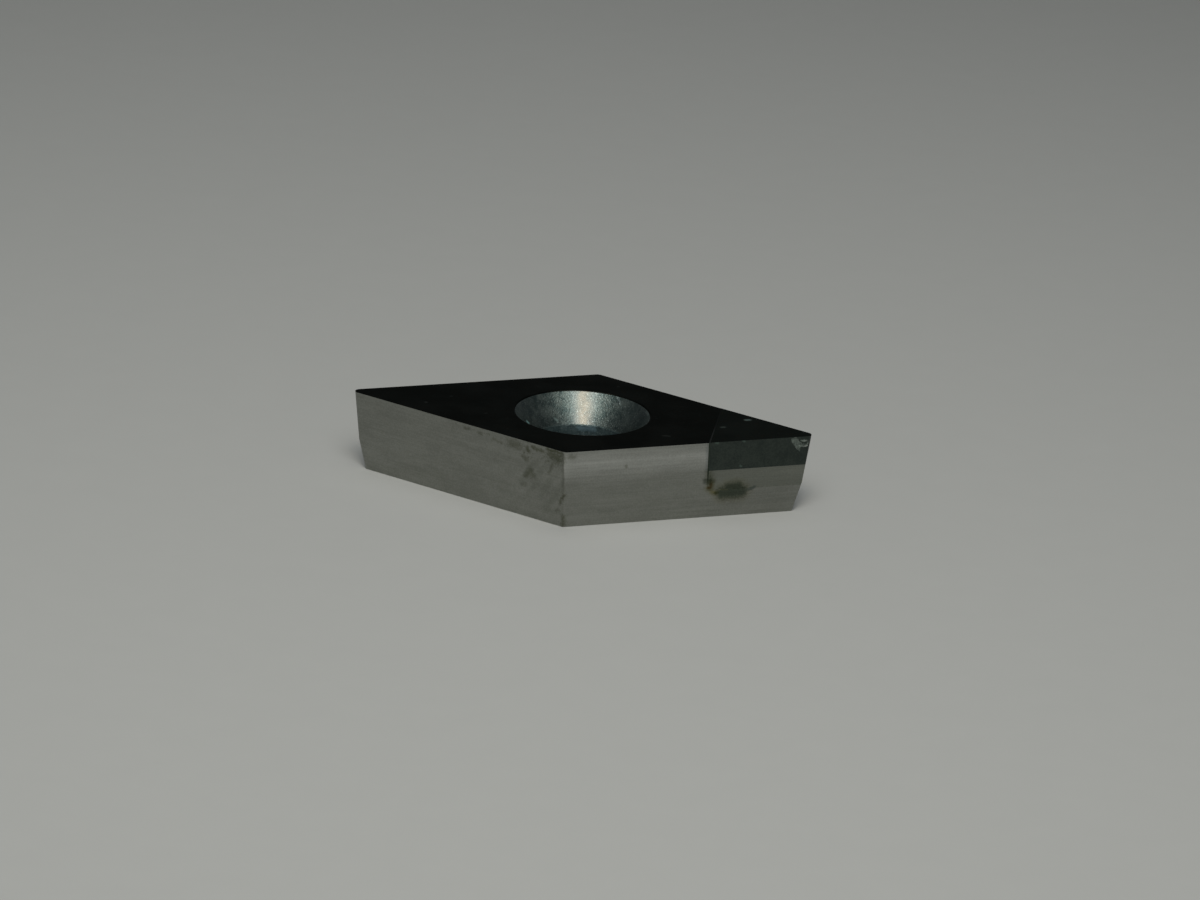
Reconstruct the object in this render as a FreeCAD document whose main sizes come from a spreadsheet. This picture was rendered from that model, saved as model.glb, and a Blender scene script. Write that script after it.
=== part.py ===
import FreeCAD, Part
import math
import os
import Sketcher

# A rhombic boring insert with one brazed cbn tip. Millimetres and degrees.
# The origin is on the hole's axis in the seat face. The top face is at +Z, and the tip points along +X.

doc = FreeCAD.newDocument("boring_insert")

# Driving dimensions

DRIVING_DIMENSIONS = [
    ("inscribed_circle", 6.35, "diameter of the circle that touches the four top edges"),
    ("insert_thickness", 2.38, "seat face to top face"),
    ("corner_angle", 55.0, "included angle of an acute corner"),
    ("relief_angle", 7.0, "lean of each flank from the vertical"),
    ("nose_radius", 0.18, "radius of an acute corner, in the top face"),
    ("heel_radius", 0.18, "radius of an obtuse corner, in the top face"),
    ("bore_diameter", 2.8, "cylindrical part of the screw hole"),
    ("countersink_diameter", 4.0, "screw hole where it meets the top face"),
    ("countersink_depth", 0.87, "top face to the start of the cylindrical part"),
    ("throat_radius", 0.15, "blend from the countersink to the bore"),
    ("tip_length", 2.76, "nose to the tip's back face, along the long diagonal"),
    ("cbn_thickness", 0.9, "cutting layer of the tip"),
    ("backing_thickness", 0.6, "carbide backing under the cutting layer"),
    ("braze_thickness", 0.04, "film of braze between the tip and its pocket"),
    ("cutter_overrun", 0.5, "how far a cutting form runs past the surfaces that it cuts"),
]

sizes = doc.addObject("Spreadsheet::Sheet", "sizes")
for row, (alias, value, meaning) in enumerate(DRIVING_DIMENSIONS, start=1):
    sizes.set("A%d" % row, alias)
    sizes.set("B%d" % row, str(value))
    sizes.set("C%d" % row, meaning)
    sizes.setAlias("B%d" % row, alias)
doc.recompute()

# Formulas that several features share

ON_AXIS = "0"
TOP = "sizes.insert_thickness"
OVERRUN = "sizes.cutter_overrun"
ABOVE_TOP = "(sizes.insert_thickness + sizes.cutter_overrun)"
CORNER = "(sizes.corner_angle * 1 deg)"
HALF_CORNER = "(sizes.corner_angle * 1 deg / 2)"
RELIEF = "(sizes.relief_angle * 1 deg)"
SHARP_NOSE = "(sizes.inscribed_circle / 2 / sin(%s))" % HALF_CORNER
SHARP_HEEL = "(sizes.inscribed_circle / 2 / cos(%s))" % HALF_CORNER
NOSE_AXIS = "(%s - sizes.nose_radius / sin(%s))" % (SHARP_NOSE, HALF_CORNER)
HEEL_AXIS = "(%s - sizes.heel_radius / cos(%s))" % (SHARP_HEEL, HALF_CORNER)
BORE_RADIUS = "(sizes.bore_diameter / 2)"
MOUTH_RADIUS = "(sizes.countersink_diameter / 2)"
TIP_BACK = "(%s + sizes.nose_radius - sizes.tip_length)" % NOSE_AXIS
LAYER_FLOOR = "(sizes.insert_thickness - sizes.cbn_thickness)"
TIP_FLOOR = "(%s - sizes.backing_thickness)" % LAYER_FLOOR


def measure(formula):
    """The present value of a formula, as a plain number."""
    result = sizes.evalExpression(formula)
    return float(getattr(result, "Value", result))


# Sketch helpers


def origin_feature(body, role):
    return [feature for feature in body.Origin.OriginFeatures if feature.Role == role][0]


def new_sketch(body, name, plane_role):
    """Adds a sketch on one of the body's own origin planes."""
    sketch = body.newObject("Sketcher::SketchObject", name)
    sketch.AttachmentSupport = [(origin_feature(body, plane_role), "")]
    sketch.MapMode = "FlatFace"
    sketch.Visibility = False
    return sketch


def draw_polygon(sketch, corners):
    """Draws a closed polygon through pairs of formulas; line number i starts at corner number i."""
    points = [FreeCAD.Vector(measure(across), measure(up), 0) for across, up in corners]
    count = len(points)
    for i in range(count):
        sketch.addGeometry(Part.LineSegment(points[i], points[(i + 1) % count]), False)
    for i in range(count):
        sketch.addConstraint(Sketcher.Constraint("Coincident", i, 2, (i + 1) % count, 1))


def drive(sketch, constraint, name, formula):
    """Adds a named dimension and binds it to a formula."""
    index = sketch.addConstraint(constraint)
    sketch.renameConstraint(index, name)
    sketch.setExpression("Constraints." + name, formula)


def drive_corner(sketch, line, name, across, up):
    """Dimensions the start of a line from the sketch's origin."""
    point = sketch.getPoint(line, 1)
    if across == ON_AXIS:
        sketch.addConstraint(Sketcher.Constraint("PointOnObject", line, 1, -2))
    else:
        drive(sketch, Sketcher.Constraint("DistanceX", -1, 1, line, 1, point.x), name + "_across", across)
    drive(sketch, Sketcher.Constraint("DistanceY", -1, 1, line, 1, point.y), name + "_up", up)


def draw_profile(sketch, named_corners):
    """Draws a polygon and dimensions every corner of it."""
    draw_polygon(sketch, [(across, up) for name, across, up in named_corners])
    for line, (name, across, up) in enumerate(named_corners):
        drive_corner(sketch, line, name, across, up)


# Ground form: the rhombic plate with its leaning flanks, rounded corners and screw hole.
# The tip is ground together with the body, so every piece takes its outer faces from this form.


def add_plate(body):
    """A rhombus drawn about its inscribed circle in the top face, padded down to the seat."""
    outline = new_sketch(body, "top_outline", "XY_Plane")
    outline.setExpression("AttachmentOffset.Base.z", TOP)
    nose = (SHARP_NOSE, ON_AXIS)
    far_nose = ("-" + SHARP_NOSE, ON_AXIS)
    draw_polygon(outline, [nose, (ON_AXIS, SHARP_HEEL), far_nose, (ON_AXIS, "-" + SHARP_HEEL)])
    radius = measure("sizes.inscribed_circle / 2")
    upright = FreeCAD.Vector(0, 0, 1)
    circle = outline.addGeometry(Part.Circle(FreeCAD.Vector(0, 0, 0), upright, radius), True)
    outline.addConstraint(Sketcher.Constraint("Coincident", circle, 3, -1, 1))
    outline.addConstraint(Sketcher.Constraint("PointOnObject", 0, 1, -1))
    outline.addConstraint(Sketcher.Constraint("PointOnObject", 1, 1, -2))
    outline.addConstraint(Sketcher.Constraint("Symmetric", 0, 1, 2, 1, -1, 1))
    outline.addConstraint(Sketcher.Constraint("Symmetric", 1, 1, 3, 1, -1, 1))
    outline.addConstraint(Sketcher.Constraint("Tangent", 0, circle))
    diameter = Sketcher.Constraint("Diameter", circle, 2 * radius)
    drive(outline, diameter, "inscribed_circle", "sizes.inscribed_circle")
    acute_corner = Sketcher.Constraint("Angle", 0, 1, 3, 2, math.radians(measure(CORNER)))
    drive(outline, acute_corner, "acute_corner", CORNER)

    plate = body.newObject("PartDesign::Pad", "straight_plate")
    plate.Profile = outline
    plate.Reversed = True
    plate.setExpression("Length", TOP)
    doc.recompute()
    return plate


def lean_flanks(body, plate):
    """Leans the four sides inwards below the top face."""
    upward = {"Face%d" % n: face.normalAt(0, 0).z for n, face in enumerate(plate.Shape.Faces, start=1)}
    flanks = body.newObject("PartDesign::Draft", "leaning_flanks")
    flanks.Base = (plate, [name for name, z in upward.items() if abs(z) < 0.5])
    flanks.NeutralPlane = (plate, [name for name, z in upward.items() if z > 0.5])
    flanks.Reversed = True
    flanks.setExpression("Angle", RELIEF)
    doc.recompute()


def round_corner(body, name, plane_role, corner_axis, radius, sharp_corner, sweep):
    """Rounds one corner: removes what lies outside a cone that shrinks with depth as the flanks do.

    Where the cone has run out to its point, the two flanks meet in a plain edge.
    """
    cone_end = "max(-%s; %s - %s / tan(%s))" % (OVERRUN, TOP, radius, RELIEF)
    cone_top = "%s + %s + %s * tan(%s)" % (corner_axis, radius, OVERRUN, RELIEF)
    cone_foot = "%s + %s - (%s - %s) * tan(%s)" % (corner_axis, radius, TOP, cone_end, RELIEF)
    outside = "%s + %s" % (sharp_corner, OVERRUN)
    profile = new_sketch(body, name + "_profile", plane_role)
    draw_profile(profile, [
        ("cone_top", cone_top, ABOVE_TOP),
        ("outer_top", outside, ABOVE_TOP),
        ("outer_foot", outside, cone_end),
        ("cone_foot", cone_foot, cone_end),
    ])
    low = FreeCAD.Vector(measure(corner_axis), 0, 0)
    high = FreeCAD.Vector(measure(corner_axis), measure(TOP), 0)
    turn_line = profile.addGeometry(Part.LineSegment(low, high), True)
    profile.addConstraint(Sketcher.Constraint("Vertical", turn_line))
    profile.addConstraint(Sketcher.Constraint("PointOnObject", turn_line, 1, -1))
    at = Sketcher.Constraint("DistanceX", -1, 1, turn_line, 1, low.x)
    drive(profile, at, "turn_line_across", corner_axis)
    along = Sketcher.Constraint("DistanceY", turn_line, 1, turn_line, 2, high.y)
    drive(profile, along, "turn_line_length", TOP)

    groove = body.newObject("PartDesign::Groove", name)
    groove.Profile = profile
    groove.ReferenceAxis = (profile, ["Axis0"])
    groove.Midplane = True
    groove.setExpression("Angle", sweep)
    doc.recompute()
    return groove


def repeat_corners(body, grooves):
    """Rounds the two opposite corners in the same way."""
    opposite = body.newObject("PartDesign::PolarPattern", "opposite_corners")
    opposite.Originals = grooves
    opposite.Axis = (origin_feature(body, "Z_Axis"), [""])
    opposite.Angle = 360
    opposite.Occurrences = 2
    body.Tip = opposite
    doc.recompute()


def add_screw_hole(body):
    """The screw hole: a countersink that runs down to a cylindrical bore."""
    throat_height = TOP + " - sizes.countersink_depth"
    flare = "(%s - %s) / sizes.countersink_depth" % (MOUTH_RADIUS, BORE_RADIUS)
    profile = new_sketch(body, "hole_profile", "XZ_Plane")
    draw_profile(profile, [
        ("axis_foot", ON_AXIS, "-" + OVERRUN),
        ("bore_foot", BORE_RADIUS, "-" + OVERRUN),
        ("throat", BORE_RADIUS, throat_height),
        ("mouth", "%s + %s * %s" % (MOUTH_RADIUS, OVERRUN, flare), ABOVE_TOP),
        ("axis_top", ON_AXIS, ABOVE_TOP),
    ])
    hole = body.newObject("PartDesign::Groove", "screw_hole")
    hole.Profile = profile
    hole.ReferenceAxis = (profile, ["V_Axis"])
    hole.Angle = 360
    doc.recompute()

    throat = FreeCAD.Vector(0, 0, measure(throat_height))
    throat_edges = []
    for number, edge in enumerate(hole.Shape.Edges, start=1):
        if isinstance(edge.Curve, Part.Circle) and edge.Curve.Center.isEqual(throat, 1e-6):
            throat_edges.append("Edge%d" % number)
    blend = body.newObject("PartDesign::Fillet", "throat_blend")
    blend.Base = (hole, throat_edges)
    blend.setExpression("Radius", "sizes.throat_radius")
    doc.recompute()


ground_form = doc.addObject("PartDesign::Body", "ground_form")
straight_plate = add_plate(ground_form)
lean_flanks(ground_form, straight_plate)
nose_sweep = "180 deg - " + CORNER
nose = round_corner(
    ground_form, "nose_round", "XZ_Plane", NOSE_AXIS, "sizes.nose_radius", SHARP_NOSE, nose_sweep)
heel = round_corner(
    ground_form, "heel_round", "YZ_Plane", HEEL_AXIS, "sizes.heel_radius", SHARP_HEEL, CORNER)
repeat_corners(ground_form, [nose, heel])
add_screw_hole(ground_form)

# Spaces of the tip, each a block from some wall to beyond the nose


def add_space(name, back, floor, ceiling):
    """A block that is wider than the insert, from its back wall to beyond the nose."""
    block = doc.addObject("Part::Box", name)
    block.setExpression("Placement.Base.x", back)
    block.setExpression("Placement.Base.y", "-" + SHARP_HEEL)
    block.setExpression("Placement.Base.z", floor)
    block.setExpression("Length", "%s + %s - %s" % (SHARP_NOSE, OVERRUN, back))
    block.setExpression("Width", "2 * " + SHARP_HEEL)
    block.setExpression("Height", "%s - %s" % (ceiling, floor))
    return block


POCKET_BACK = "(%s - sizes.braze_thickness)" % TIP_BACK
POCKET_FLOOR = "(%s - sizes.braze_thickness)" % TIP_FLOOR
pocket_space = add_space("pocket_space", POCKET_BACK, POCKET_FLOOR, ABOVE_TOP)
tip_space = add_space("tip_space", TIP_BACK, TIP_FLOOR, ABOVE_TOP)
layer_space = add_space("layer_space", TIP_BACK, LAYER_FLOOR, ABOVE_TOP)
backing_space = add_space("backing_space", TIP_BACK, TIP_FLOOR, LAYER_FLOOR)

braze_space = doc.addObject("Part::Cut", "braze_space")
braze_space.Base = pocket_space
braze_space.Tool = tip_space

# Sub-parts


def new_sub_part(kind, label, space):
    """One piece of the insert: the ground form less a space, or what the two share."""
    piece = doc.addObject(kind, label)
    piece.Label = label
    piece.Base = ground_form
    piece.Tool = space
    return piece


# Carbide body: the ground form with the tip's pocket cut out of one acute corner
carbide_body = new_sub_part("Part::Cut", "carbide_body", pocket_space)

# Cutting layer: the top of the tip, with the nose
cbn_layer = new_sub_part("Part::Common", "cbn_layer", layer_space)

# Backing: the carbide that the cutting layer is sintered to
tip_backing = new_sub_part("Part::Common", "tip_backing", backing_space)

# Braze: the film that fills the gap under the tip and behind it
braze_joint = new_sub_part("Part::Common", "braze_joint", braze_space)

sub_parts = [carbide_body, cbn_layer, tip_backing, braze_joint]
doc.recompute()

# Checks, then one file for each sub-part

for item in doc.Objects:
    if "Invalid" in item.State or "Error" in item.State:
        raise RuntimeError("%s failed to build: %s" % (item.Label, item.State))
for piece in sub_parts:
    if piece.Shape.isNull() or not piece.Shape.isValid():
        raise RuntimeError("%s has no valid shape" % piece.Label)

os.makedirs("parts", exist_ok=True)
for piece in sub_parts:
    piece.Shape.exportStep(os.path.join("parts", piece.Label + ".step"))
    print("%-14s %9.4f mm3" % (piece.Label, piece.Shape.Volume))
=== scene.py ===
import math

import bmesh
import bpy
from mathutils import Matrix, Vector


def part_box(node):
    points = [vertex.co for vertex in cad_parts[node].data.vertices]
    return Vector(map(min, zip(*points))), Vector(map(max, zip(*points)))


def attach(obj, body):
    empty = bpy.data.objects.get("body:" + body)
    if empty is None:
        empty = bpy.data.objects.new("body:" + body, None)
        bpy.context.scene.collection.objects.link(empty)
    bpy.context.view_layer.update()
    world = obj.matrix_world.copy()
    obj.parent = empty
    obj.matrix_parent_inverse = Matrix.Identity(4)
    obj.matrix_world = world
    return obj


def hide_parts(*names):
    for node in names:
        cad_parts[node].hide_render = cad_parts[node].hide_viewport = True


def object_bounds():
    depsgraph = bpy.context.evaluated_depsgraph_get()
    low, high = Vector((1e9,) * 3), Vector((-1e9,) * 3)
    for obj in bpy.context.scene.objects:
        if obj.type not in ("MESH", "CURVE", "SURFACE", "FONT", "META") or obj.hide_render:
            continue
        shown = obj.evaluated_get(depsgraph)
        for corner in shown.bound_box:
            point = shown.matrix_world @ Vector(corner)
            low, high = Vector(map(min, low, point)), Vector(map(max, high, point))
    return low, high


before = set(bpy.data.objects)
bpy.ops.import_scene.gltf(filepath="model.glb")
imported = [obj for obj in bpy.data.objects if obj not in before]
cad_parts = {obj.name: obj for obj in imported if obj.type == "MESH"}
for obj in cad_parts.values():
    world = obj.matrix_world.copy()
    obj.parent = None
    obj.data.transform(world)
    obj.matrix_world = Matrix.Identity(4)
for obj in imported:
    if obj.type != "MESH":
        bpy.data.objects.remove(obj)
cad_low, cad_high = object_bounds()

# Pieces are modelled in millimetres and brought to metres when they are finished
MM = 0.001

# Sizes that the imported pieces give
TOP = cad_high.z / MM
LAYER_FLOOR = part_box("cbn_layer")[0].z / MM
TIP_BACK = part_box("cbn_layer")[0].x / MM
TIP_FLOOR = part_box("tip_backing")[0].z / MM
POCKET_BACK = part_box("braze_joint")[0].x / MM
POCKET_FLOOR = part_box("braze_joint")[0].z / MM

# Sizes of the ground form, as on the real insert
INSCRIBED_CIRCLE = 6.35
HALF_CORNER = math.radians(55 / 2)
RELIEF = math.radians(7)
NOSE_RADIUS = 0.18
HEEL_RADIUS = 0.18
BORE_RADIUS = 1.4
MOUTH_RADIUS = 2.0
COUNTERSINK_DEPTH = 0.87
THROAT_BLEND = 0.15
RIM_ROUND = 0.03

# Fineness of the rounded forms
NOSE_STEPS = 28
HEEL_STEPS = 12
HOLE_SIDES = 160
THROAT_STEPS = 6
RIM_SEGMENTS = 3
HONE_SEGMENTS = 2
SMOOTH_UNDER = math.radians(24)

# Sizes of the wear; a flake's radius and roughness are shares of the half sizes of its chip
EDGE_HONE = 0.01
FLAKE_RADIUS = 1.1
CHIP_ROUGHNESS = 0.20

# Places that follow from the sizes above, and how far a cutter reaches past what it cuts
THROAT = TOP - COUNTERSINK_DEPTH
SHARP_NOSE = INSCRIBED_CIRCLE / 2 / math.sin(HALF_CORNER)
SHARP_HEEL = INSCRIBED_CIRCLE / 2 / math.cos(HALF_CORNER)
OVERRUN = 0.5
BEYOND_TIP = (SHARP_NOSE + OVERRUN, SHARP_HEEL, TOP + OVERRUN)

# Tolerances for finding faces and edges: on a plane, in a slope or radius, and where an edge is sharp
NEAR = 1e-4
ABOUT = 0.01
CLEAR_ANGLE = math.radians(30)


# Modelling helpers


def select_only(piece):
    bpy.ops.object.select_all(action="DESELECT")
    piece.select_set(True)
    bpy.context.view_layer.objects.active = piece


def start_editing(piece):
    select_only(piece)
    bpy.ops.object.mode_set(mode="EDIT")


def stop_editing():
    bpy.ops.object.mode_set(mode="OBJECT")


def choose(piece, kind, test):
    """Selects only the faces or edges that pass the test."""
    bpy.ops.mesh.select_mode(type=kind)
    bpy.ops.mesh.select_all(action="DESELECT")
    form = bmesh.from_edit_mesh(piece.data)
    for item in form.faces if kind == "FACE" else form.edges:
        if test(item):
            item.select_set(True)
    form.select_flush_mode()
    bmesh.update_edit_mesh(piece.data)


def settle_transforms():
    bpy.ops.object.transform_apply(location=True, rotation=True, scale=True)


def copy_of(piece, name):
    """A copy with its own mesh."""
    select_only(piece)
    bpy.ops.object.duplicate()
    twin = bpy.context.object
    twin.name = name
    return twin


def add_block(low, high):
    """A block between two corners, for cutting."""
    low, high = Vector(low), Vector(high)
    bpy.ops.object.select_all(action="DESELECT")
    bpy.ops.mesh.primitive_cube_add(size=1, location=(low + high) / 2, scale=high - low)
    settle_transforms()
    return bpy.context.object


def columns(first, second, third):
    """The rotation that turns the three axes to these directions."""
    return Matrix((first, second, third)).transposed()


def cut_away(piece, cutter):
    """Removes the cutter's space from a piece. The cut faces take the cutter's finish."""
    select_only(piece)
    cut = piece.modifiers.new("cut", "BOOLEAN")
    cut.operation = "DIFFERENCE"
    cut.solver = "EXACT"
    cut.material_mode = "TRANSFER"
    cut.object = cutter
    bpy.ops.object.modifier_apply(modifier=cut.name)
    bpy.data.objects.remove(cutter)


def grind(point, outward):
    """Takes off all that lies outside a plane, as a grinding wheel does, and closes the cut."""
    bpy.ops.mesh.select_all(action="SELECT")
    bpy.ops.mesh.bisect(
        plane_co=point, plane_no=outward, use_fill=True, clear_outer=True, threshold=1e-6)


# Ground form: a block ground on its four flanks, then rolled round each corner


def leaning(across, up):
    """The outward normal of a flank that faces a level direction and leans in towards the seat."""
    return Vector((across * math.cos(RELIEF), up * math.cos(RELIEF), -math.sin(RELIEF)))


def roll_round_corner(facing, axis_distance, radius, sweep, steps):
    """Grinds small flats about an upright axis; they run out where the sharp edge begins."""
    axis = Vector((math.cos(facing), math.sin(facing), 0)) * axis_distance
    for step in range(steps):
        angle = facing + sweep * ((step + 0.5) / steps - 0.5)
        level = Vector((math.cos(angle), math.sin(angle), 0))
        grind(axis + level * radius + Vector((0, 0, TOP)), leaning(level.x, level.y))


def make_ground_form():
    form = add_block((-SHARP_NOSE, -SHARP_HEEL, 0), (SHARP_NOSE, SHARP_HEEL, TOP))
    form.name = "ground_form"
    start_editing(form)
    for side_x in (1, -1):
        for side_y in (1, -1):
            level = Vector((side_x * math.sin(HALF_CORNER), side_y * math.cos(HALF_CORNER), 0))
            grind(level * INSCRIBED_CIRCLE / 2 + Vector((0, 0, TOP)), leaning(level.x, level.y))
    nose_axis = SHARP_NOSE - NOSE_RADIUS / math.sin(HALF_CORNER)
    heel_axis = SHARP_HEEL - HEEL_RADIUS / math.cos(HALF_CORNER)
    nose_sweep = math.pi - 2 * HALF_CORNER
    for facing in (0, math.pi):
        roll_round_corner(facing, nose_axis, NOSE_RADIUS, nose_sweep, NOSE_STEPS)
        roll_round_corner(facing + math.pi / 2, heel_axis, HEEL_RADIUS, 2 * HALF_CORNER, HEEL_STEPS)
    stop_editing()
    return form


def make_hole_form():
    """The space of the screw hole, turned up from a cylinder: bore, throat blend and countersink."""
    slope = math.atan((MOUTH_RADIUS - RIM_ROUND - BORE_RADIUS) / COUNTERSINK_DEPTH)
    bore_end = THROAT - THROAT_BLEND * math.tan(slope / 2)
    turned = []
    for step in range(1, THROAT_STEPS + 1):
        turn = slope * step / THROAT_STEPS
        radius = BORE_RADIUS + THROAT_BLEND * (1 - math.cos(turn))
        turned.append((radius, bore_end + THROAT_BLEND * math.sin(turn)))
    turned.append((MOUTH_RADIUS - RIM_ROUND + OVERRUN * math.tan(slope), TOP + OVERRUN))

    length = bore_end + OVERRUN
    bpy.ops.object.select_all(action="DESELECT")
    bpy.ops.mesh.primitive_cylinder_add(
        vertices=HOLE_SIDES, radius=BORE_RADIUS, depth=length, location=(0, 0, length / 2 - OVERRUN))
    settle_transforms()
    form = bpy.context.object
    form.name = "hole_form"
    start_editing(form)
    choose(form, "FACE", lambda face: face.normal.z > 0.5)
    last_radius, last_height = BORE_RADIUS, bore_end
    for radius, height in turned:
        rise = {"value": (0, 0, height - last_height)}
        bpy.ops.mesh.extrude_region_move(TRANSFORM_OT_translate=rise)
        grow = radius / last_radius
        bpy.ops.transform.resize(value=(grow, grow, 1), center_override=(0, 0, 0))
        last_radius, last_height = radius, height
    stop_editing()
    return form


def hone_edges(piece, width, segments, test):
    """A small bevel along the edges that pass the test."""
    start_editing(piece)
    choose(piece, "EDGE", test)
    bpy.ops.mesh.bevel(offset=width, segments=segments, affect="EDGES")
    stop_editing()


def ends(edge):
    return [vert.co for vert in edge.verts]


def is_corner(edge):
    """True where two faces meet at a clear angle."""
    return len(edge.link_faces) == 2 and edge.calc_face_angle() > CLEAR_ANGLE


def on_top_outline(edge):
    """True for the sharp outline of the top face, without the edges of the tip's pocket."""
    at_top = all(abs(p.z - TOP) < NEAR and p.xy.length > MOUTH_RADIUS + NEAR for p in ends(edge))
    return at_top and is_corner(edge) and not all(p.x > POCKET_BACK - NEAR for p in ends(edge))


def on_hole_rim(edge):
    rim = MOUTH_RADIUS - RIM_ROUND
    return all(abs(p.z - TOP) < NEAR and abs(p.xy.length - rim) < ABOUT for p in ends(edge))


def on_seat_outline(edge):
    return is_corner(edge) and all(abs(p.z) < NEAR for p in ends(edge))


def is_ground_flank(face):
    """True for the flanks and the small flats round the corners, which all lean by the relief angle."""
    return abs(face.normal.z + math.sin(RELIEF)) < ABOUT


def finish_piece(piece, name, node):
    """Smooths the curved faces only, brings the piece to metres, and puts it in the CAD node's place."""
    piece.name = name
    select_only(piece)
    bpy.ops.object.shade_smooth_by_angle(angle=SMOOTH_UNDER)
    start_editing(piece)
    choose(piece, "FACE", is_ground_flank)
    bpy.ops.mesh.faces_shade_flat()
    stop_editing()
    weighted = piece.modifiers.new("even_shading", "WEIGHTED_NORMAL")
    weighted.keep_sharp = True
    bpy.ops.object.modifier_apply(modifier=weighted.name)
    piece.scale = (MM, MM, MM)
    settle_transforms()
    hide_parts(node)
    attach(piece, "root")


# Finishes


def tone(red, green, blue):
    """A colour given as it looks on a screen, from 0 to 255, as linear light."""
    linear = []
    for part in (red, green, blue):
        share = part / 255
        linear.append(share / 12.92 if share <= 0.04045 else ((share + 0.055) / 1.055) ** 2.4)
    return (*linear, 1)


# Colour sockets of a Mix node, which share their names with its number sockets
MIX_FIRST = 6
MIX_SECOND = 7
MIX_RESULT = 2


class Finish:
    """A material and short ways to build its nodes."""

    def __init__(self, name):
        self.material = bpy.data.materials.new(name)
        self.material.use_nodes = True
        self.tree = self.material.node_tree
        self.shader = self.tree.nodes["Principled BSDF"]
        place = self.add("ShaderNodeTexCoord")
        self.place = self.math_on_vector("SCALE", place.outputs["Object"], 1 / MM)
        self.normal = place.outputs["Normal"]
        self.warped = self.place
        self.fray = 0.0

    def add(self, kind, **settings):
        node = self.tree.nodes.new(kind)
        for key, value in settings.items():
            setattr(node, key, value)
        return node

    def put(self, value, socket):
        """Links an output to a socket, or sets a plain value on it."""
        if isinstance(value, bpy.types.NodeSocket):
            self.tree.links.new(value, socket)
        else:
            socket.default_value = value

    def math_on_vector(self, operation, vector, factor=(0, 0, 0)):
        node = self.add("ShaderNodeVectorMath", operation=operation)
        self.put(vector, node.inputs[0])
        if operation == "SCALE":
            self.put(factor, node.inputs["Scale"])
        else:
            self.put(factor, node.inputs[1])
        return node.outputs["Value" if operation in ("DOT_PRODUCT", "LENGTH") else "Vector"]

    def roughen_marks(self, scale, shift, fray):
        """Makes marks irregular: shifts the space that they are measured in, and frays their borders."""
        coarse = self.noise(self.place, scale, 3.0, 0.6, output="Color")
        uneven = self.math_on_vector("SUBTRACT", coarse, (0.5, 0.5, 0.5))
        self.warped = self.math_on_vector("ADD", self.place, self.math_on_vector("SCALE", uneven, shift))
        fine = self.noise(self.place, 2.2 * scale, 3.0, 0.7)
        self.fray = self.math("MULTIPLY", self.math("SUBTRACT", fine, 0.5), fray)

    def math(self, operation, first, second):
        node = self.add("ShaderNodeMath", operation=operation)
        self.put(first, node.inputs[0])
        self.put(second, node.inputs[1])
        return node.outputs[0]

    def seen_in(self, vector, axes, scale, centre=(0, 0, 0)):
        """A vector seen from a centre along turned axes, and divided by a size along each of them."""
        node = self.add("ShaderNodeMapping", vector_type="TEXTURE")
        self.put(vector, node.inputs["Vector"])
        node.inputs["Location"].default_value = centre
        node.inputs["Rotation"].default_value = axes.to_euler()
        node.inputs["Scale"].default_value = scale
        return node.outputs[0]

    def stretched(self, scale):
        """Place in millimetres, divided by a size along each axis."""
        return self.seen_in(self.place, Matrix.Identity(3), scale)

    def noise(self, vector, scale=1.0, detail=2.0, roughness=0.5, output="Fac"):
        node = self.add("ShaderNodeTexNoise")
        self.put(vector, node.inputs["Vector"])
        node.inputs["Scale"].default_value = scale
        node.inputs["Detail"].default_value = detail
        node.inputs["Roughness"].default_value = roughness
        return node.outputs[output]

    def ramp(self, value, low, high, to_low=0.0, to_high=1.0):
        """Maps low..high smoothly to to_low..to_high."""
        node = self.add("ShaderNodeMapRange", interpolation_type="SMOOTHSTEP")
        self.put(value, node.inputs["Value"])
        node.inputs["From Min"].default_value = low
        node.inputs["From Max"].default_value = high
        node.inputs["To Min"].default_value = to_low
        node.inputs["To Max"].default_value = to_high
        return node.outputs["Result"]

    def mix(self, amount, first, second, blend="MIX"):
        node = self.add("ShaderNodeMix", data_type="RGBA", blend_type=blend)
        self.put(amount, node.inputs["Factor"])
        self.put(first, node.inputs[MIX_FIRST])
        self.put(second, node.inputs[MIX_SECOND])
        return node.outputs[MIX_RESULT]

    def height(self):
        """Height above the seat, in millimetres."""
        node = self.add("ShaderNodeSeparateXYZ")
        self.put(self.place, node.inputs[0])
        return node.outputs["Z"]

    def bump(self, height, strength, distance):
        """A relief as deep as the distance, in millimetres."""
        node = self.add("ShaderNodeBump")
        node.inputs["Strength"].default_value = strength
        node.inputs["Distance"].default_value = distance * MM
        self.put(height, node.inputs["Height"])
        self.put(node.outputs[0], self.shader.inputs["Normal"])

    def set(self, **values):
        for name, value in values.items():
            self.put(value, self.shader.inputs[name.replace("_", " ").title().replace("Ior", "IOR")])


# Length of the grinding lines along the flanks and their spacing up them
GRIND_LINES = (4.5, 4.5, 0.050)
FINE_LINES = (1.6, 1.6, 0.010)
GROUND_ROUGHNESS = 0.42

FRONT_RIGHT = leaning(math.sin(HALF_CORNER), -math.cos(HALF_CORNER))
FRONT_LEFT = leaning(-math.sin(HALF_CORNER), -math.cos(HALF_CORNER))
UPWARD = Vector((0, 0, 1))

# Marks that the photograph shows: both ends of a stroke, half its width, and its strength

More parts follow.
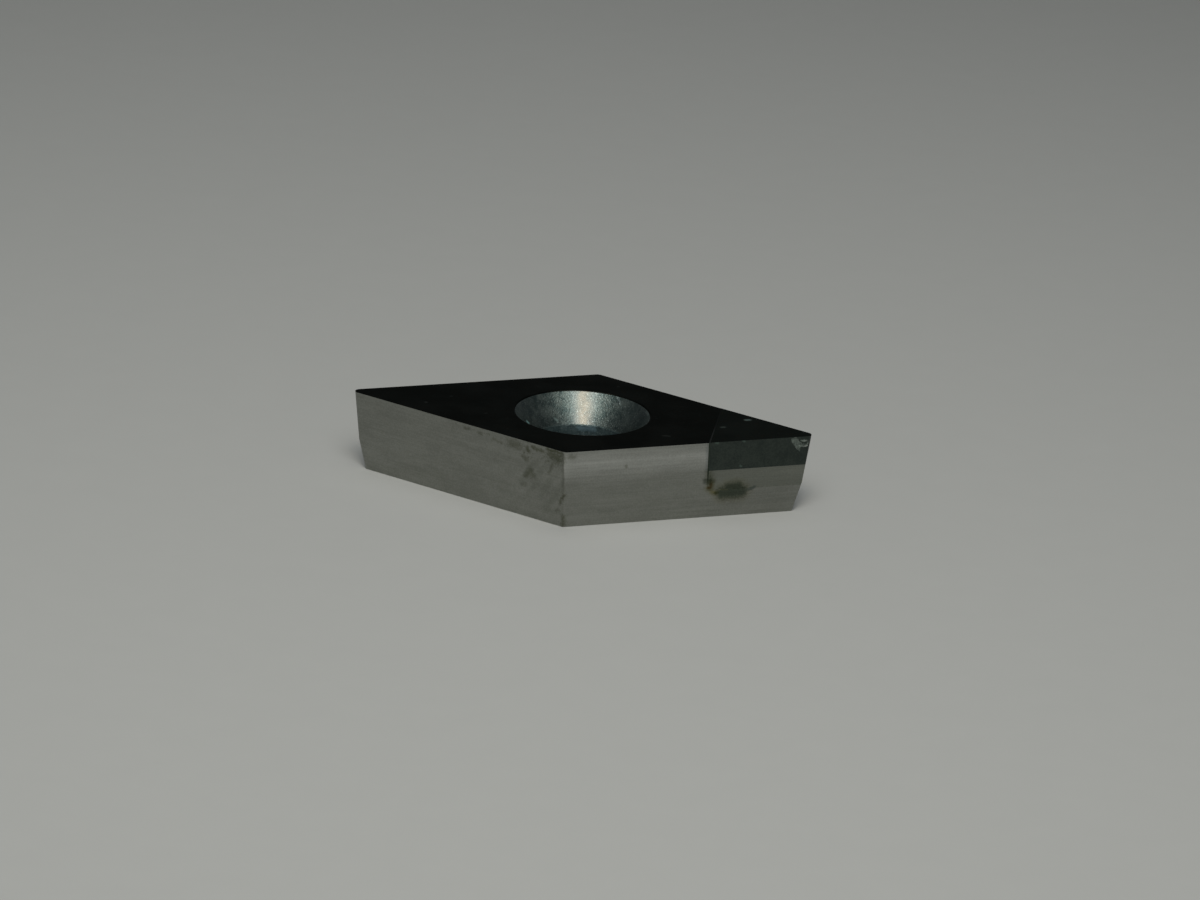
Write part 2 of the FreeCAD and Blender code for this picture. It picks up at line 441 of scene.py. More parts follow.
HANDLING_MARKS = [
    ((-1.065, -2.911, 1.520), (-0.975, -2.937, 1.360), 0.075, 0.63),
    ((-1.083, -2.891, 1.480), (-1.200, -2.800, 1.265), 0.070, 0.63),
    ((-1.075, -2.880, 1.390), (-1.045, -2.895, 1.350), 0.090, 0.48),
    ((-1.680, -2.682, 2.185), (-1.460, -2.797, 2.165), 0.110, 0.60),
    ((-1.030, -3.030, 2.250), (-0.700, -3.190, 2.200), 0.060, 0.80),
    ((-1.190, -2.930, 2.160), (-1.130, -2.950, 2.060), 0.055, 0.85),
    ((-1.300, -2.830, 1.880), (-1.200, -2.880, 1.800), 0.065, 0.55),
    ((-0.455, -3.318, 2.205), (-0.215, -3.430, 2.120), 0.150, 0.78),
    ((-0.380, -3.310, 1.900), (-0.486, -3.218, 1.590), 0.040, 0.50),
    ((-0.560, -3.280, 2.325), (-0.130, -3.500, 2.310), 0.055, 0.90),
    ((-1.200, -2.760, 1.020), (-1.320, -2.700, 0.980), 0.055, 0.35),
    ((-0.020, -3.370, 1.000), (-0.110, -3.290, 0.750), 0.050, 0.75),
    ((-0.150, -3.240, 0.500), (-0.220, -3.210, 0.480), 0.055, 0.35),
    ((-0.010, -3.290, 0.330), (-0.010, -3.255, 0.060), 0.055, 0.75),
    ((-3.120, -1.935, 2.220), (-3.020, -1.985, 2.220), 0.045, 0.60),
    ((-2.700, -2.150, 2.210), (-2.640, -2.180, 2.200), 0.045, 0.60),
    ((-2.250, -2.380, 2.140), (-2.000, -2.510, 2.090), 0.040, 0.50),
    ((0.120, -3.490, 2.230), (0.240, -3.440, 2.200), 0.070, 0.45),
    ((1.640, -2.645, 1.795), (1.670, -2.625, 1.780), 0.035, 0.60),
]
PEPPERED = [
    ((-3.400, -1.790, 2.250), (-1.600, -2.720, 2.200), 0.160, 0.8),
    ((-1.600, -2.720, 2.100), (-0.300, -3.380, 2.050), 0.300, 1.0),
]
CORNER_SHADE = ((-0.088, -3.520, 2.300), (-0.010, -3.350, 0.850), 0.045, 0.50)
BRAZE_STAIN = [
    ((4.320, -1.130, 0.740), (4.820, -0.870, 0.745), 0.190, 1.0),
    ((4.490, -1.060, 0.880), (4.730, -0.935, 0.890), 0.165, 0.93),
    ((4.160, -1.200, 0.760), (4.340, -1.110, 0.750), 0.075, 0.85),
    ((4.860, -0.850, 0.770), (4.960, -0.795, 0.785), 0.075, 0.85),
    ((4.960, -0.795, 0.785), (5.190, -0.675, 0.865), 0.045, 0.75),
]
BRAZE_SMEAR = ((4.015, -1.270, 0.800), (4.140, -1.205, 0.765), 0.065, 1.0)
BRAZE_STREAK = ((4.220, -1.170, 0.850), (4.440, -1.055, 0.835), 0.018, 0.6)
# Painted shade: a soft darkening of the flank below the tip
PAINTED_SHADE_UNDER_TIP = ((4.600, -1.000, 0.620), (6.400, -0.060, 0.620), 0.300, 1.0)
SEAM_SHADE = ((3.910, -1.400, 1.420), (3.990, -1.330, 1.150), 0.110, 1.0)
SEAM_EDGE = ((3.850, -1.572, 2.330), (3.850, -1.470, 1.500), 0.050, 1.0)
BRAZE_BURR = [
    ((3.826, -1.422, 1.186), (3.950, -1.355, 1.167), 0.075, 0.95),
    ((3.815, -1.420, 1.125), (3.930, -1.355, 1.100), 0.065, 0.85),
    ((4.015, -1.315, 1.165), (4.060, -1.290, 1.135), 0.055, 0.45),
    ((3.890, -1.370, 1.180), (3.930, -1.350, 1.300), 0.035, 0.4),
]
BRAZE_ARC = [
    ((3.990, -1.322, 1.065), (3.985, -1.308, 0.960), 0.042, 0.85),
    ((3.974, -1.310, 0.934), (3.925, -1.338, 0.925), 0.050, 1.0),
]
TOP_DUST = [
    ((4.070, -0.105, TOP), (4.140, -0.075, TOP), 0.045, 0.38),
    ((4.690, 0.740, TOP), (4.770, 0.780, TOP), 0.058, 0.88),
    ((-4.530, -0.430, TOP), (-4.500, -0.430, TOP), 0.035, 0.25),
    ((-3.900, 0.310, TOP), (-3.880, 0.320, TOP), 0.035, 0.15),
    ((2.520, -1.340, TOP), (2.700, -1.320, TOP), 0.030, 0.20),
    ((-2.700, -0.900, TOP), (-2.680, -0.880, TOP), 0.030, 0.15),
    ((0.700, 2.600, TOP), (0.720, 2.610, TOP), 0.030, 0.15),
]
# Painted shade: darkens the right end of the hole's wall
PAINTED_SHADE_AT_HOLE_END = ((1.860, 0.620, 2.300), (1.480, 0.450, 1.620), 0.420, 1.0)
# Painted highlight: a warm tint on the back of the cone where the lamp's streak falls
PAINTED_WARM_HIGHLIGHT = ((-0.220, 1.949, 2.367), (-0.102, 1.415, 1.538), 0.180, 1.0)
# The lower end of the highlight streak, left out of the painted shade on the lower cone
HIGHLIGHT_AT_THROAT = ((-0.178, 1.694, 1.950), (-0.123, 1.402, 1.520), 0.125, 1.0)
# Marks on the wall of the screw hole, among them a painted reflection and a painted glint: a stroke as
# above, the way that the wall faces there, and its tone
HOLE_MARKS_AND_GLINTS = [
    (((0.774, 1.800, 2.355), (0.914, 1.607, 2.195), 0.028, 0.5), (-0.40, -0.80, 0.45), (140, 155, 155)),
    # Painted reflection: a light patch at the right end of the hole
    (((1.790, 0.780, 2.325), (1.868, 0.530, 2.320), 0.045, 0.38), (-0.83, -0.32, 0.45), (140, 155, 150)),
    # Painted glint: a bright teal speck on the left wall near the front rim
    (((-1.622, 0.200, 1.868), (-1.578, 0.250, 1.812), 0.040, 1.0), (0.88, -0.12, 0.45), (180, 225, 225)),
    (((-0.220, 1.383, 1.420), (0.220, 1.383, 1.420), 0.070, 0.6), (0.0, -1.0, 0.0), (118, 146, 158)),
    (((-0.960, 1.195, 1.700), (-0.850, 1.195, 1.640), 0.025, 0.5), (0.50, -0.73, 0.45), (115, 135, 133)),
]
EDGE_SPECKS = [
    ((4.060, -1.460, 2.370), (4.110, -1.440, 2.350), 0.035, 0.9),
    ((4.800, -1.080, 2.370), (4.840, -1.055, 2.350), 0.030, 0.9),
    ((4.760, -0.990, 1.575), (4.785, -0.977, 1.565), 0.030, 1.0),
]


# How far off its plane a mark still shows, in millimetres
MARK_DEPTH = 0.25


def reach_of(finish, mark, normal):
    """Distance from a stroke in the plane of its face, in half widths, measured in the warped space."""
    start, end, width = Vector(mark[0]), Vector(mark[1]), mark[2]
    along = (end - start).normalized()
    across = normal.cross(along).normalized()
    axes = columns(along, across, along.cross(across))
    size = (width, width, MARK_DEPTH)
    from_middle = finish.seen_in(finish.warped, axes, size, (start + end) / 2)
    folded = finish.math_on_vector("ABSOLUTE", from_middle)
    past_end = finish.math_on_vector("SUBTRACT", folded, ((end - start).length / 2 / width, 0, 0))
    return finish.math_on_vector("LENGTH", finish.math_on_vector("MAXIMUM", past_end))


def mask_of(finish, marks, normal, softness=0.6):
    """1 inside the marks, 0 outside, with soft borders."""
    result = None
    for mark in marks:
        reach = finish.math("ADD", reach_of(finish, mark, normal), finish.fray)
        mask = finish.ramp(reach, 1 - softness, 1 + softness, mark[3], 0.0)
        result = mask if result is None else finish.math("MAXIMUM", result, mask)
    return result


def wider(marks, margin, strength):
    """The same strokes with a margin round them, all at one strength."""
    return [(start, end, width + margin, strength) for start, end, width, _ in marks]


def tinted(finish, colour, mask, tint):
    """Multiplies a colour by a tint where the mask is 1."""
    return finish.mix(mask, colour, finish.mix(1.0, colour, (*tint, 1), "MULTIPLY"))


def braze_stains_and_painted_shade(finish, colour):
    """The burnt patch under the tip and the residue at the seam, over whatever they lie on, with a
    painted shade on the flank below the tip.
    """
    finish.roughen_marks(8.0, 0.09, 0.9)
    layers = [
        (wider(BRAZE_STAIN[:3] + BRAZE_ARC, 0.07, 0.75), 0.7, (0.74, 0.70, 0.50)),
        ([PAINTED_SHADE_UNDER_TIP], 1.0, (0.93, 0.93, 0.93)),
        ([BRAZE_SMEAR], 1.0, (0.76, 0.72, 0.50)),
        ([SEAM_SHADE], 1.0, (0.66, 0.67, 0.60)),
        ([SEAM_EDGE], 1.0, (0.76, 0.78, 0.80)),
        (BRAZE_STAIN, 0.6, (0.36, 0.43, 0.45)),
        ([BRAZE_STREAK], 0.8, (1.9, 1.6, 1.35)),
        (BRAZE_ARC, 0.9, (0.50, 0.38, 0.26)),
        (BRAZE_BURR, 0.9, (0.38, 0.41, 0.36)),
    ]
    for marks, softness, tint in layers:
        colour = tinted(finish, colour, mask_of(finish, marks, FRONT_RIGHT, softness), tint)
    return colour


def on_right_flank(finish):
    """1 on the front right flank, 0 elsewhere."""
    return finish.ramp(finish.math_on_vector("DOT_PRODUCT", finish.normal, FRONT_RIGHT), 0.62, 0.80)


def ground_surface(finish, light, dark, roughness):
    """Fine lines along the flanks and a light grain; the lines are clearest on the front right flank."""
    broad = finish.noise(finish.stretched(GRIND_LINES), 1.0, 3.0, 0.6)
    fine = finish.noise(finish.stretched(FINE_LINES), 1.0, 2.0, 0.6)
    grain = finish.noise(finish.place, 24.0, 2.0, 0.6)
    cloud = finish.noise(finish.stretched((1.1, 1.1, 0.35)), 1.0, 4.0, 0.65)
    lines = finish.math("ADD", finish.math("MULTIPLY", broad, 0.5), finish.math("MULTIPLY", fine, 0.5))
    soft = finish.math("ADD", finish.math("MULTIPLY", grain, 0.55), finish.math("MULTIPLY", cloud, 0.45))
    clear = finish.math("ADD", finish.math("MULTIPLY", on_right_flank(finish), 0.12), 0.33)
    shade = finish.math("ADD", finish.math("MULTIPLY", lines, clear),
                        finish.math("MULTIPLY", soft, finish.math("SUBTRACT", 1.0, clear)))
    colour = finish.mix(finish.ramp(shade, 0.36, 0.64), dark, light)
    finish.set(metallic=1.0, roughness=finish.ramp(fine, 0.3, 0.7, roughness - 0.04, roughness + 0.05))
    relief = finish.math("ADD", finish.math("MULTIPLY", lines, 0.7), finish.math("MULTIPLY", grain, 0.5))
    finish.bump(relief, strength=0.3, distance=0.004)
    return colour


def painted_reflection_band(finish, colour):
    """Painted reflection: the brighter band that runs below the top edge of the front right flank, up to
    the tip.
    """
    waver = finish.math("MULTIPLY", finish.noise(finish.stretched((2.5, 2.5, 0.4)), 1.0, 2.0), 0.3)
    level = finish.math("ADD", finish.height(), waver)
    rising = finish.ramp(level, TOP - 0.98, TOP - 0.20)
    edge = finish.ramp(level, TOP - 0.27, TOP + 0.20, 1.0, 0.35)
    amount = finish.math("MULTIPLY", on_right_flank(finish), finish.math("MULTIPLY", rising, edge))
    return finish.mix(amount, colour, finish.mix(1.0, colour, (1.66, 1.64, 1.71, 1), "MULTIPLY"))


def smears_near_corner(finish, colour):
    """Faint slanting wipes on the front left flank, beside the blunt front corner."""
    along = Vector((-0.55 * math.cos(HALF_CORNER), 0.55 * math.sin(HALF_CORNER), -0.83)).normalized()
    axes = columns(along, FRONT_LEFT.cross(along).normalized(), FRONT_LEFT)
    streaks = finish.seen_in(finish.place, axes, (1.0, 0.24, 1.0))
    wipes = finish.ramp(finish.noise(streaks, 1.0, 3.0, 0.5), 0.42, 0.66)
    from_centre = finish.math_on_vector("SUBTRACT", finish.place, (-0.55, -3.2, 1.3))
    distance = finish.math_on_vector("LENGTH", from_centre)
    near_corner = finish.ramp(distance, 0.5, 1.9, 1.0, 0.0)
    on_left = finish.ramp(finish.math_on_vector("DOT_PRODUCT", finish.normal, FRONT_LEFT), 0.80, 0.95)
    amount = finish.math("MULTIPLY", wipes, finish.math("MULTIPLY", near_corner, on_left))
    return tinted(finish, colour, amount, (0.86, 0.87, 0.85))


def make_ground_carbide():
    finish = Finish("ground_flanks")
    colour = ground_surface(finish, tone(149, 151, 145), tone(127, 129, 123), GROUND_ROUGHNESS)
    # Painted reflection: a brighter band below the top edge of the front right flank
    colour = painted_reflection_band(finish, colour)
    colour = smears_near_corner(finish, colour)
    finish.roughen_marks(7.0, 0.15, 3.0)
    pepper = finish.ramp(finish.noise(finish.place, 9.0, 3.0, 0.7), 0.56, 0.68)
    peppered = finish.math("MULTIPLY", pepper, mask_of(finish, PEPPERED, FRONT_LEFT, 1.0))
    colour = tinted(finish, colour, peppered, (0.62, 0.64, 0.56))
    colour = tinted(finish, colour, mask_of(finish, HANDLING_MARKS, FRONT_LEFT, 1.0), (0.40, 0.41, 0.31))
    corner = (FRONT_LEFT + FRONT_RIGHT).normalized()
    colour = tinted(finish, colour, mask_of(finish, [CORNER_SHADE], corner, 0.8), (0.70, 0.70, 0.67))
    finish.set(base_color=braze_stains_and_painted_shade(finish, colour))
    return finish.material


def make_backing_carbide():
    finish = Finish("ground_backing")
    colour = ground_surface(finish, tone(134, 137, 129), tone(117, 120, 113), GROUND_ROUGHNESS)
    finish.set(base_color=braze_stains_and_painted_shade(finish, colour))
    return finish.material


def make_braze():
    """Ground level with the flanks under the tip, tarnished dark behind it and on the top face."""
    finish = Finish("silver_braze")
    uneven = finish.noise(finish.place, 9.0, 4.0, 0.65)
    colour = finish.mix(finish.ramp(uneven, 0.35, 0.65), tone(117, 120, 112), tone(132, 135, 127))
    behind_tip = finish.ramp(finish.height(), LAYER_FLOOR - 0.46, LAYER_FLOOR - 0.10)
    colour = tinted(finish, colour, behind_tip, (0.26, 0.32, 0.28))
    facing_up = finish.ramp(finish.math_on_vector("DOT_PRODUCT", finish.normal, UPWARD), 0.7, 0.9)
    from_front = finish.math_on_vector("DOT_PRODUCT", finish.place, (0, 1, 0))
    far_side = finish.ramp(from_front, -0.9, 0.2)
    lapped = finish.mix(far_side, (0.052, 0.056, 0.054, 1), (0.018, 0.020, 0.019, 1))
    colour = finish.mix(facing_up, braze_stains_and_painted_shade(finish, colour), lapped)
    finish.set(base_color=colour, metallic=1.0, roughness=GROUND_ROUGHNESS)
    finish.set(specular_tint=(0.5, 0.5, 0.5, 1))
    finish.bump(uneven, strength=0.3, distance=0.01)
    return finish.material


def make_lapped_top(name, dark, light):
    """The dark polished top face, with a few dust specks and a fine uneven grain; on the carbide its
    near-black colours are a painted reflection of a dark room.
    """
    finish = Finish(name)
    cloud = finish.noise(finish.place, 0.7, 4.0, 0.6)
    grain = finish.noise(finish.place, 14.0, 3.0, 0.6)
    rusty = finish.ramp(finish.noise(finish.place, 5.0, 3.0, 0.7), 0.50, 0.70, 0.0, 0.7)
    colour = finish.mix(finish.ramp(cloud, 0.35, 0.65), (*dark, 1), (*light, 1))
    colour = tinted(finish, colour, rusty, (1.5, 1.0, 0.75))
    colour = finish.mix(finish.ramp(grain, 0.58, 0.72, 0.0, 0.55), colour, (0.036, 0.041, 0.039, 1))
    finish.roughen_marks(20.0, 0.06, 1.0)
    specks = finish.ramp(finish.noise(finish.place, 6.5, 2.0, 0.5), 0.70, 0.80, 0.0, 0.10)
    dust = finish.math("MAXIMUM", mask_of(finish, TOP_DUST, UPWARD, 0.9), specks)
    colour = finish.mix(dust, colour, tone(50, 68, 66))
    finish.set(metallic=finish.math("SUBTRACT", 1.0, dust))
    finish.set(roughness=finish.ramp(cloud, 0.3, 0.7, 0.16, 0.22))
    finish.set(base_color=colour, specular_tint=(0.525, 0.53, 0.52, 1))
    finish.bump(grain, strength=0.05, distance=0.004)
    return finish.material


def make_pressed_wall():
    """The unground wall of the screw hole: blue-grey, mottled, sparkling and rougher down in the bore;
    painted shade darkens the lower cone, the deep bore and the hole's right end, and a painted warm
    highlight lies where the lamp's streak falls.
    """
    finish = Finish("pressed_wall")
    mottle = finish.noise(finish.stretched((0.26, 0.26, 0.34)), 1.0, 5.0, 0.7)
    sparkle = finish.noise(finish.place, 23.0, 2.0, 0.8)
    in_bore = finish.ramp(finish.height(), THROAT - 0.07, THROAT + 0.05, 1.0, 0.0)
    cone = finish.mix(finish.ramp(mottle, 0.34, 0.66), tone(58, 72, 71), tone(88, 98, 95))
    # Painted highlight: warms the cone where the lamp's streak falls
    highlight_warmth = mask_of(finish, [PAINTED_WARM_HIGHLIGHT], Vector((0.08, -0.84, 0.55)).normalized(), 1.0)
    cone = tinted(finish, cone, highlight_warmth, (1.22, 0.88, 0.66))
    # Painted shade: the lower cone darkens towards the throat, except under the end of the highlight
    # streak
    low = finish.ramp(finish.height(), THROAT + 0.02, THROAT + 0.50, 1.0, 0.0)
    beside = finish.math("SUBTRACT", 1.0, mask_of(finish, [HIGHLIGHT_AT_THROAT], Vector((0.0, -0.82, 0.57)), 1.0))
    cone = tinted(finish, cone, finish.math("MULTIPLY", low, beside), (0.66, 0.66, 0.67))
    # Painted shade at the right end of the hole
    shaded = mask_of(finish, [PAINTED_SHADE_AT_HOLE_END], Vector((-0.82, -0.25, 0.50)).normalized(), 1.0)
    cone = tinted(finish, cone, shaded, (0.36, 0.46, 0.47))
    bore = finish.mix(finish.ramp(mottle, 0.34, 0.66), tone(76, 94, 97), tone(100, 118, 121))
    # Painted shade: the bore darkens with depth
    deep_bore_shade = finish.ramp(finish.height(), THROAT - 0.41, THROAT - 0.03, 1.0, 0.0)
    bore = tinted(finish, bore, deep_bore_shade, (0.50, 0.52, 0.53))
    colour = finish.mix(in_bore, cone, bore)
    colour = finish.mix(finish.ramp(sparkle, 0.58, 0.72, 0.0, 0.7), colour, tone(140, 150, 148))
    colour = finish.mix(finish.ramp(sparkle, 0.28, 0.42, 0.6, 0.0), colour, tone(36, 44, 45))
    finish.roughen_marks(10.0, 0.08, 1.6)
    # The marks, with the painted reflection and the painted glint, laid on as their tones
    for mark, outward, shade in HOLE_MARKS_AND_GLINTS:
        shown = mask_of(finish, [mark], Vector(outward).normalized(), 0.8)
        colour = finish.mix(shown, colour, tone(*shade))
    gloss = finish.ramp(mottle, 0.3, 0.7, 0.40, 0.48)
    finish.set(base_color=colour, metallic=1.0)
    finish.set(roughness=finish.math("ADD", gloss, finish.math("MULTIPLY", in_bore, 0.1)))
    finish.set(coat_weight=0.6, coat_roughness=0.26)
    relief = finish.math("ADD", mottle, finish.math("MULTIPLY", sparkle, 1.2))
    finish.bump(relief, strength=0.6, distance=0.016)
    return finish.material


def make_cbn():
    """The dark cutting layer, ground with the flanks, with specks along its edges."""
    finish = Finish("cbn_ground")
    lines = finish.noise(finish.stretched(FINE_LINES), 1.0, 2.0, 0.6)
    grain = finish.noise(finish.place, 20.0, 3.0, 0.6)
    cloud = finish.noise(finish.place, 3.0, 3.0, 0.6)
    shade = finish.math("ADD", finish.math("MULTIPLY", grain, 0.55), finish.math("MULTIPLY", cloud, 0.45))
    colour = finish.mix(finish.ramp(shade, 0.38, 0.62), tone(22, 30, 27), tone(35, 42, 38))
    finish.roughen_marks(20.0, 0.06, 1.0)
    colour = finish.mix(mask_of(finish, EDGE_SPECKS, FRONT_RIGHT), colour, tone(52, 64, 59))
    finish.set(base_color=colour, metallic=0.0, roughness=finish.ramp(lines, 0.3, 0.7, 0.38, 0.5))
    finish.set(specular_ior_level=0.25)
    finish.bump(grain, strength=0.25, distance=0.004)
    return finish.material


def make_cbn_fracture():
    """Fresh rough surface where the cutting nose has chipped."""
    finish = Finish("cbn_fracture")
    grain = finish.noise(finish.place, 11.0, 4.0, 0.7)
    colour = finish.mix(finish.ramp(grain, 0.36, 0.62), tone(42, 50, 46), tone(87, 97, 91))
    running_out = finish.ramp(finish.height(), TOP - 0.46, TOP - 0.26, 0.7, 0.0)
    colour = finish.mix(running_out, colour, tone(35, 44, 40))
    finish.set(base_color=colour, metallic=0.0, roughness=0.5)
    finish.bump(grain, strength=0.6, distance=0.02)
    return finish.material


def make_floor():
    finish = Finish("studio_floor")
    paper = finish.noise(finish.place, 0.8, 3.0, 0.5)
    colour = finish.mix(paper, (0.262, 0.272, 0.270, 1), (0.270, 0.280, 0.278, 1))
    finish.set(base_color=colour, roughness=0.9, specular_ior_level=0.2)
    return finish.material


def give_finish(piece, material):
    piece.data.materials.clear()
    piece.data.materials.append(material)


def refinish_faces(piece, material, test):
    """Gives a further finish to the faces that pass the test."""
    if material.name not in piece.data.materials:
        piece.data.materials.append(material)
    piece.active_material_index = piece.data.materials.find(material.name)
    start_editing(piece)
    choose(piece, "FACE", test)
    bpy.ops.object.material_slot_assign()
    stop_editing()


# Pieces

carbide = make_ground_carbide()
backing_carbide = make_backing_carbide()
silver_braze = make_braze()
# Painted reflection: the carbide top's near-black colours stand in for the dark room that its polished
# face reflects
lapped_top = make_lapped_top("lapped_carbide_top", (0.0085, 0.0095, 0.0080), (0.0190, 0.0210, 0.0185))
lapped_tip = make_lapped_top("lapped_cbn_top", (0.0215, 0.0270, 0.0225), (0.0325, 0.0395, 0.0335))
pressed_wall = make_pressed_wall()
cbn_ground = make_cbn()
cbn_fracture = make_cbn_fracture()


def is_top(face):
    """True for the lapped top face with its hones, and for the flatter part of the hole's round rim."""
    centre = face.calc_center_median()
    on_face = centre.z > TOP - NEAR and face.normal.z > 0.9
    on_rim = centre.z > TOP - RIM_ROUND and centre.xy.length < MOUTH_RADIUS and face.normal.z > 0.5
    on_hone = centre.z > TOP - EDGE_HONE and centre.xy.length > MOUTH_RADIUS and face.normal.z > 0.2
    return on_face or on_rim or on_hone


def is_hole_wall(face):
    centre = face.calc_center_median()
    return centre.xy.length < MOUTH_RADIUS + RIM_ROUND and not is_top(face) and centre.z > NEAR


# Chips in the cutting nose: distance along the flank, height, half length, half height, depth, turn
NOSE_CHIPS = [
    (5.385, 2.265, 0.115, 0.130, 0.035, 0),
    (5.455, 2.125, 0.085, 0.225, 0.035, 28),
    (5.540, 2.145, 0.075, 0.090, 0.035, 15),
    (5.665, 2.105, 0.147, 0.062, 0.033, 0),
    (5.655, 2.262, 0.120, 0.045, 0.026, 0),
    (5.785, 2.185, 0.035, 0.070, 0.030, 0),
]


def make_insert_body(form):
    body = copy_of(form, "insert_body")
    give_finish(body, carbide)
    hole = make_hole_form()
    give_finish(hole, pressed_wall)
    cut_away(body, hole)
    pocket = add_block((POCKET_BACK, -SHARP_HEEL, POCKET_FLOOR), BEYOND_TIP)
    give_finish(pocket, carbide)
    cut_away(body, pocket)
    hone_edges(body, RIM_ROUND, RIM_SEGMENTS, on_hole_rim)
    hone_edges(body, EDGE_HONE, HONE_SEGMENTS, on_top_outline)
    hone_edges(body, EDGE_HONE, HONE_SEGMENTS, on_seat_outline)
    refinish_faces(body, lapped_top, is_top)
    refinish_faces(body, pressed_wall, is_hole_wall)
    finish_piece(body, "insert_body", "carbide_body")


def cut_flake(piece, finish, along, height, half_length, half_height, depth, turn):
    """Breaks a rough flake out of the front right flank, at a distance along it and a height."""
    level = Vector((math.sin(HALF_CORNER), -math.cos(HALF_CORNER), 0))
    run = Vector((math.cos(HALF_CORNER), math.sin(HALF_CORNER), 0))
    bpy.ops.object.select_all(action="DESELECT")
    bpy.ops.mesh.primitive_ico_sphere_add(subdivisions=1, radius=FLAKE_RADIUS)
    flake = bpy.context.object
    start_editing(flake)
    bpy.ops.mesh.select_all(action="SELECT")
    bpy.ops.transform.vertex_random(offset=CHIP_ROUGHNESS, seed=round(100 * along))
    stop_editing()
    axes = columns(run, FRONT_RIGHT, run.cross(FRONT_RIGHT))
    flake.rotation_euler = (axes @ Matrix.Rotation(math.radians(turn), 3, "Y")).to_euler()
    flake.scale = (half_length, depth, half_height)
    flake.location = level * (INSCRIBED_CIRCLE / 2 - (TOP - height) * math.tan(RELIEF)) + run * along
    flake.location.z = height
    settle_transforms()
    give_finish(flake, finish)
    cut_away(piece, flake)


def make_cbn_tip(form):
    tip = copy_of(form, "cbn_tip")
    give_finish(tip, cbn_ground)
    start_editing(tip)
    grind((TIP_BACK, 0, 0), (-1, 0, 0))
    grind((0, 0, LAYER_FLOOR), (0, 0, -1))
    stop_editing()
    for chip in NOSE_CHIPS:
        cut_flake(tip, cbn_fracture, *chip)
    refinish_faces(tip, lapped_tip, is_top)
    finish_piece(tip, "cbn_tip", "cbn_layer")


def make_tip_backing(form):
    backing = copy_of(form, "carbide_backing")
    give_finish(backing, backing_carbide)
    start_editing(backing)
    grind((TIP_BACK, 0, 0), (-1, 0, 0))
    grind((0, 0, LAYER_FLOOR), (0, 0, 1))
    grind((0, 0, TIP_FLOOR), (0, 0, -1))
    stop_editing()
    finish_piece(backing, "carbide_backing", "tip_backing")


def make_braze_film(form):
    film = copy_of(form, "braze_film")
    give_finish(film, silver_braze)
    start_editing(film)
    grind((POCKET_BACK, 0, 0), (-1, 0, 0))
    grind((0, 0, POCKET_FLOOR), (0, 0, -1))
    stop_editing()
    tip_space = add_block((TIP_BACK, -SHARP_HEEL, TIP_FLOOR), BEYOND_TIP)
    give_finish(tip_space, silver_braze)
    cut_away(film, tip_space)
    finish_piece(film, "braze_film", "braze_joint")


ground_form = make_ground_form()
make_insert_body(ground_form)
make_cbn_tip(ground_form)
make_tip_backing(ground_form)
make_braze_film(ground_form)
bpy.data.objects.remove(ground_form)

# Studio: floor, light and the camera at the photograph's angle, in metres

FLOOR_SIDE = 4.0
AIR_COLOUR = (0.93, 1.0, 1.03, 1)
AIR_BRIGHTNESS = 0.11
LAMP_DISTANCE = 0.15
LAMP_SPREAD = math.radians(90)
DAYLIGHT = (0.985, 0.978, 0.945)
LAMPLIGHT = (1.0, 0.80, 0.55)

# Soft boxes: name, azimuth and elevation in degrees, side, watts and colour
SOFT_BOXES = [
    ("key_light", 5.3, 50.3, 0.09, 0.066, DAYLIGHT),
    ("top_light", 0.0, 90.0, 0.12, 0.020, DAYLIGHT),
    ("warm_lamp", 5.3, 50.3, 0.03, 0.008, LAMPLIGHT),
]


def aimed_from(azimuth, elevation):
    """The direction from the insert towards something seen at that azimuth and elevation."""
    across = math.cos(elevation)
    return Vector((math.sin(azimuth) * across, -math.cos(azimuth) * across, math.sin(elevation)))


def add_floor():
    bpy.ops.object.select_all(action="DESELECT")
    bpy.ops.mesh.primitive_plane_add(size=FLOOR_SIDE, location=(0, 0, 0))
    floor = bpy.context.object
    floor.name = "studio_floor"
    floor.data.materials.append(make_floor())


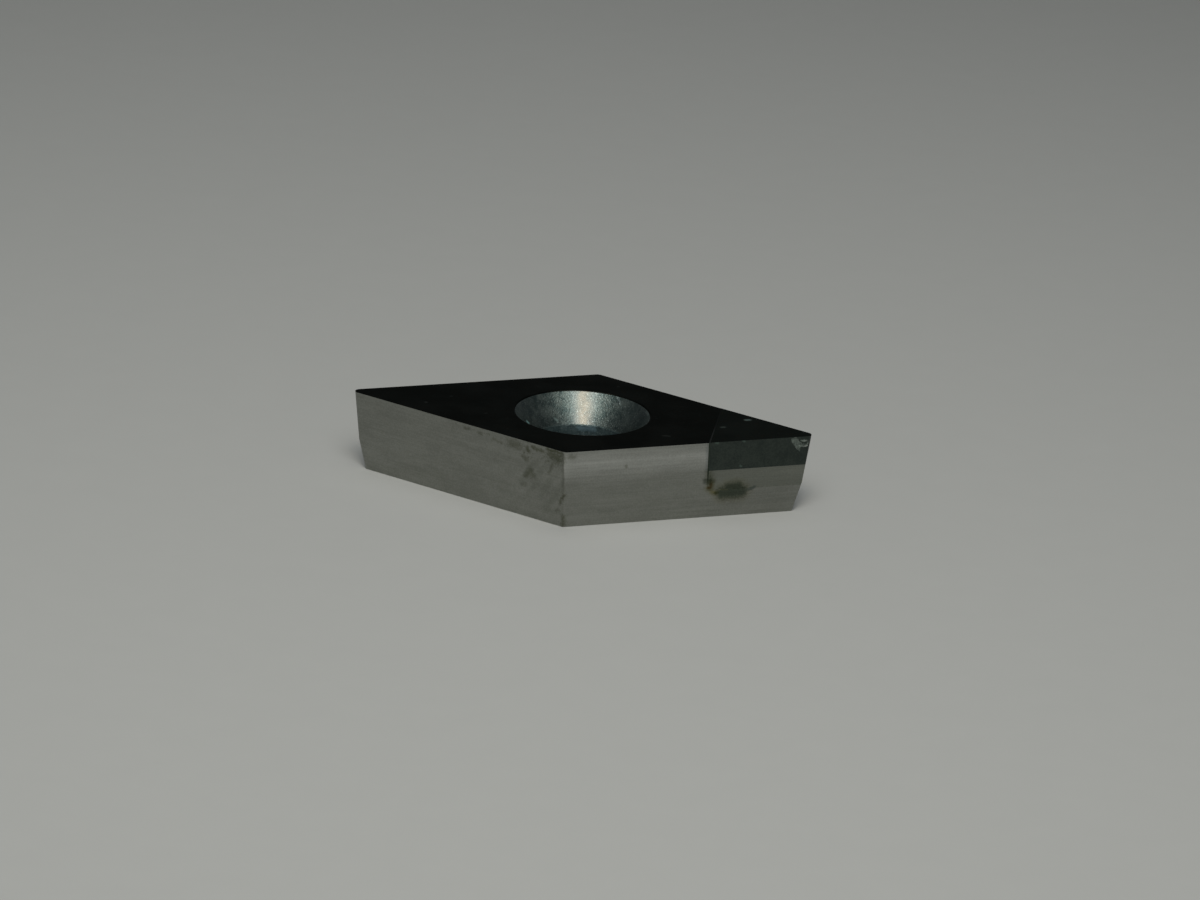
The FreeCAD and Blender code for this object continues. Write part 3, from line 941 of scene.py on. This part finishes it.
def add_soft_box(name, azimuth, elevation, side, watts, colour):
    bpy.ops.object.light_add(type="AREA")
    lamp = bpy.context.object
    lamp.name = name
    lamp.data.shape = "SQUARE"
    lamp.data.size = side
    lamp.data.energy = watts
    lamp.data.color = colour
    lamp.data.spread = LAMP_SPREAD
    towards = aimed_from(math.radians(azimuth), math.radians(elevation))
    lamp.location = towards * LAMP_DISTANCE
    lamp.rotation_euler = towards.to_track_quat("Z", "Y").to_euler()


def light_world():
    world = bpy.data.worlds.new("studio_air")
    world.use_nodes = True
    air = world.node_tree.nodes["Background"]
    air.inputs["Color"].default_value = AIR_COLOUR
    air.inputs["Strength"].default_value = AIR_BRIGHTNESS
    bpy.context.scene.world = world


# The camera, with its focal length in pixels of the photograph and its sensor in millimetres
CAMERA_AZIMUTH = math.radians(6.361)
CAMERA_ELEVATION = math.radians(19.356)
CAMERA_ROLL = math.radians(-3.499)
CAMERA_DISTANCE = 173.63 * MM
CAMERA_AIM_ACROSS = -0.6427 * MM
CAMERA_AIM_DOWN = 1.1559 * MM
FOCAL_PIXELS = 5977.8
PHOTO_WIDTH = 1200
SENSOR_WIDTH = 36
NEAREST_SEEN = 0.01
FARTHEST_SEEN = 10


def add_camera():
    """The camera is placed by the view that it had of the insert: turn, height, roll and distance."""
    forward = -aimed_from(CAMERA_AZIMUTH, CAMERA_ELEVATION)
    level = Vector((math.cos(CAMERA_AZIMUTH), math.sin(CAMERA_AZIMUTH), 0))
    down = forward.cross(level)
    right = math.cos(CAMERA_ROLL) * level + math.sin(CAMERA_ROLL) * down
    below = math.cos(CAMERA_ROLL) * down - math.sin(CAMERA_ROLL) * level
    bpy.ops.object.camera_add()
    camera = bpy.context.object
    camera.name = "photo_camera"
    camera.data.sensor_width = SENSOR_WIDTH
    camera.data.lens = FOCAL_PIXELS / PHOTO_WIDTH * SENSOR_WIDTH
    camera.data.clip_start = NEAREST_SEEN
    camera.data.clip_end = FARTHEST_SEEN
    aim = right * CAMERA_AIM_ACROSS + below * CAMERA_AIM_DOWN
    camera.location = -(aim + forward * CAMERA_DISTANCE)
    camera.rotation_euler = columns(right, -below, -forward).to_euler()
    bpy.context.scene.camera = camera


add_floor()
for soft_box in SOFT_BOXES:
    add_soft_box(*soft_box)
light_world()
add_camera()
bpy.context.scene.view_settings.view_transform = "Standard"
